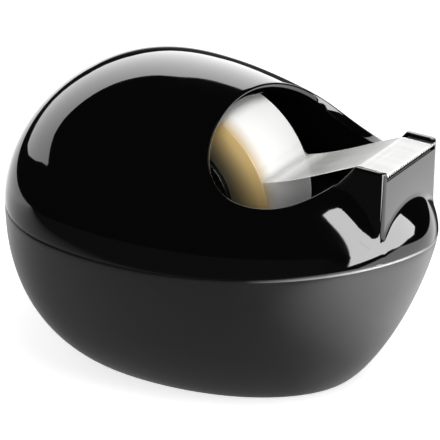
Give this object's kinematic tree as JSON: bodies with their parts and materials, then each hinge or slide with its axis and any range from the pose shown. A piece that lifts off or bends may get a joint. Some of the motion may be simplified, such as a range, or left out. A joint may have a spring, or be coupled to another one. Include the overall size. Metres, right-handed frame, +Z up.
{
  "type": "desk tape dispenser",
  "caption": "Pebble-shaped desk tape dispenser: two black shells on a weighted base, a tape roll turning on its hub inside, and a serrated cutter on the beak.",
  "frame": {"origin": "on the desk, under the middle of the bounding box", "axes": "+X from the rear to the cutter, +Y across the tape, +Z up"},
  "size_m": [0.1011, 0.0824, 0.0688],
  "materials": {
    "gloss_abs": "polished, moulded ABS",
    "satin_abs": "fine satin, moulded ABS",
    "foot_rubber": "matte",
    "foam": "closed-cell foam",
    "cast_weight": "as cast",
    "black_abs": "satin",
    "screw_steel": "zinc plated",
    "hub_plastic": "satin",
    "core_plastic": "satin",
    "tape_film": "matte acetate film, wound",
    "blade_steel": "bright rolled steel"
  },
  "bodies": {
    "body": {"upper_shell": "gloss_abs", "lower_shell": "satin_abs", "foot_pad": "foot_rubber", "ballast_cushion": "foam", "ballast_block": "cast_weight", "roll_frame": "black_abs", "frame_screws": "screw_steel", "tape_tail": "tape_film", "blade_holder": "black_abs", "cutter_blade": "blade_steel"},
    "spool": {"hub": "hub_plastic", "hub_cap": "hub_plastic", "roll_core": "core_plastic", "tape_roll": "tape_film"}
  },
  "joints": [
    {"name": "spool_spin", "type": "hinge", "parent": "body", "child": "spool", "pos_m": [-0.009, 0, 0.0407], "axis": [0, 1, 0], "continuous": true}
  ]
}
